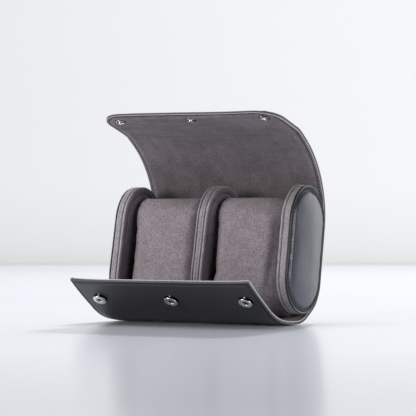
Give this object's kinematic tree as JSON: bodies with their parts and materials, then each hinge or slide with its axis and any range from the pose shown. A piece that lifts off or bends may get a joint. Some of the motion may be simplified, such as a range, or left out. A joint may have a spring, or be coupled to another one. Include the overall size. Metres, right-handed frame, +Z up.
{
  "type": "watch travel case",
  "caption": "Soft leather travel case for two wrist watches, with a roll-over lid, a front flap, snap fasteners and removable watch pillows.",
  "frame": {"origin": "on the table, under the middle of the case as it stands open", "axes": "+X along the case to the right, +Y to the back, +Z up; the opening faces -Y"},
  "size_m": [0.1717, 0.1277, 0.169],
  "materials": {
    "leather": "smooth dark grey leather",
    "suede": "mauve grey microsuede",
    "lining": "dark mauve microsuede",
    "board": "stiffener sheet",
    "panel_board": "pressed board",
    "foam": "soft filling",
    "snap_metal": "bright nickel"
  },
  "bodies": {
    "case": {"case_leather": "leather", "case_board": "board", "case_lining": "lining", "end_board_left": "panel_board", "end_board_right": "panel_board", "divider_board": "panel_board", "end_rim_left": "suede", "end_rim_right": "suede", "divider_rim": "suede", "end_face_left": "lining", "end_face_right": "lining", "divider_face_left": "lining", "divider_face_right": "lining", "end_border_left": "leather", "end_border_right": "leather", "end_foam_left": "foam", "end_foam_right": "foam", "end_pad_left": "leather", "end_pad_right": "leather"},
    "lid_1": {"lid_leather_1": "leather", "lid_lining_1": "lining"},
    "lid_2": {"lid_leather_2": "leather", "lid_lining_2": "lining"},
    "lid_3": {"lid_leather_3": "leather", "lid_lining_3": "lining"},
    "lid_4": {"lid_leather_4": "leather", "lid_lining_4": "lining"},
    "lid_5": {"lid_leather_5": "leather", "lid_lining_5": "lining"},
    "lid_6": {"lid_leather_6": "leather", "lid_lining_6": "lining"},
    "lid_lip": {"lip_leather": "leather", "lip_board": "board", "lip_lining": "lining", "lid_snap_studs": "snap_metal", "lid_snap_caps": "snap_metal"},
    "flap_1": {"flap_leather_1": "leather", "flap_lining_1": "lining"},
    "flap_2": {"flap_leather_2": "leather", "flap_lining_2": "lining"},
    "flap_3": {"flap_leather_3": "leather", "flap_lining_3": "lining"},
    "front_flap": {"front_flap_leather": "leather", "front_flap_board": "board", "front_flap_lining": "lining", "flap_snap_rings": "snap_metal", "flap_snap_rivets": "snap_metal"},
    "pillow_left": {"pillow_left_cover": "suede", "pillow_left_gussets": "suede", "pillow_left_core": "foam"},
    "pillow_right": {"pillow_right_cover": "suede", "pillow_right_gussets": "suede", "pillow_right_core": "foam"}
  },
  "joints": [
    {"name": "lid_roll", "type": "hinge", "parent": "case", "child": "lid_1", "pos_m": [0, 0.06027, 0.08279], "axis": [-1, 0, 0], "range_deg": [-12.3, 7]},
    {"name": "lid_bend_2", "type": "hinge", "parent": "lid_1", "child": "lid_2", "pos_m": [0, 0.05942, 0.09705], "axis": [-1, 0, 0], "range_deg": [-15.45, 8.81]},
    {"name": "lid_bend_3", "type": "hinge", "parent": "lid_2", "child": "lid_3", "pos_m": [0, 0.05563, 0.11081], "axis": [-1, 0, 0], "range_deg": [-16.25, 9.27]},
    {"name": "lid_bend_4", "type": "hinge", "parent": "lid_3", "child": "lid_4", "pos_m": [0, 0.04924, 0.12358], "axis": [-1, 0, 0], "range_deg": [-16.15, 9.21]},
    {"name": "lid_bend_5", "type": "hinge", "parent": "lid_4", "child": "lid_5", "pos_m": [0, 0.04047, 0.13485], "axis": [-1, 0, 0], "range_deg": [-16.95, 9.67]},
    {"name": "lid_bend_6", "type": "hinge", "parent": "lid_5", "child": "lid_6", "pos_m": [0, 0.02979, 0.14433], "axis": [-1, 0, 0], "range_deg": [-12.75, 7.28]},
    {"name": "lip_lift", "type": "hinge", "parent": "lid_6", "child": "lid_lip", "pos_m": [0, 0.01785, 0.15217], "axis": [-1, 0, 0], "range_deg": [0, 30]},
    {"name": "flap_fold", "type": "hinge", "parent": "case", "child": "flap_1", "pos_m": [0, 0.01642, 0.0036], "axis": [1, 0, 0], "range_deg": [-24.95, 0]},
    {"name": "flap_bend_2", "type": "hinge", "parent": "flap_1", "child": "flap_2", "pos_m": [0, 0.00314, 0.0036], "axis": [1, 0, 0], "range_deg": [-17, 0]},
    {"name": "flap_bend_3", "type": "hinge", "parent": "flap_2", "child": "flap_3", "pos_m": [0, -0.01, 0.00545], "axis": [1, 0, 0], "range_deg": [-12.5, 0]},
    {"name": "flap_bend_4", "type": "hinge", "parent": "flap_3", "child": "front_flap", "pos_m": [0, -0.02243, 0.0101], "axis": [1, 0, 0], "range_deg": [-11.5, 0]},
    {"name": "pillow_left_slide", "type": "slide", "parent": "case", "child": "pillow_left", "axis": [0, -0.766, 0.6428], "range_m": [0, 0.06]},
    {"name": "pillow_right_slide", "type": "slide", "parent": "case", "child": "pillow_right", "axis": [0, -0.766, 0.6428], "range_m": [0, 0.06]}
  ],
  "couplings": [
    {"joint": "lid_bend_2", "follows": "lid_roll", "ratio": 1.252},
    {"joint": "lid_bend_3", "follows": "lid_roll", "ratio": 1.3171},
    {"joint": "lid_bend_4", "follows": "lid_roll", "ratio": 1.3089},
    {"joint": "lid_bend_5", "follows": "lid_roll", "ratio": 1.374},
    {"joint": "lid_bend_6", "follows": "lid_roll", "ratio": 1.0325},
    {"joint": "flap_bend_2", "follows": "flap_fold", "ratio": 0.67936},
    {"joint": "flap_bend_3", "follows": "flap_fold", "ratio": 0.499},
    {"joint": "flap_bend_4", "follows": "flap_fold", "ratio": 0.45892}
  ]
}
